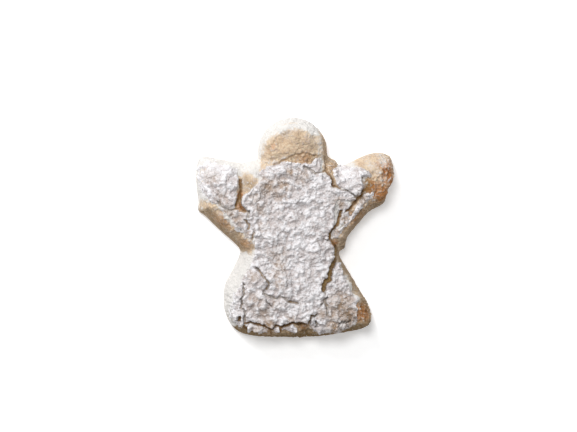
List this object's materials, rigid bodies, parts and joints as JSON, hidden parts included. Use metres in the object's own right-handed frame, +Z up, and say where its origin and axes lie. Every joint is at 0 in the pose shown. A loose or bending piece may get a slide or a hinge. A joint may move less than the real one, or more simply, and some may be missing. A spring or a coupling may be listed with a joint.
{
  "type": "almond paste cookie",
  "caption": "Thick angel-shaped almond paste cookie lying flat, with a round head, raised wings and a flared gown under a cracked crust of baked icing sugar.",
  "frame": {"origin": "middle of the cookie's footprint, on the flat baked underside", "axes": "+X across the wings to the wing with the toasted tip, +Y from the gown's hem to the head, +Z up from the flat underside"},
  "size_m": [0.0694, 0.077, 0.0142],
  "materials": {
    "baked_icing_sugar": "matt, dry and powdery, with toasted almond paste showing in its cracks"
  },
  "bodies": {
    "root": {"almond_cookie": "baked_icing_sugar"}
  },
  "joints": []
}
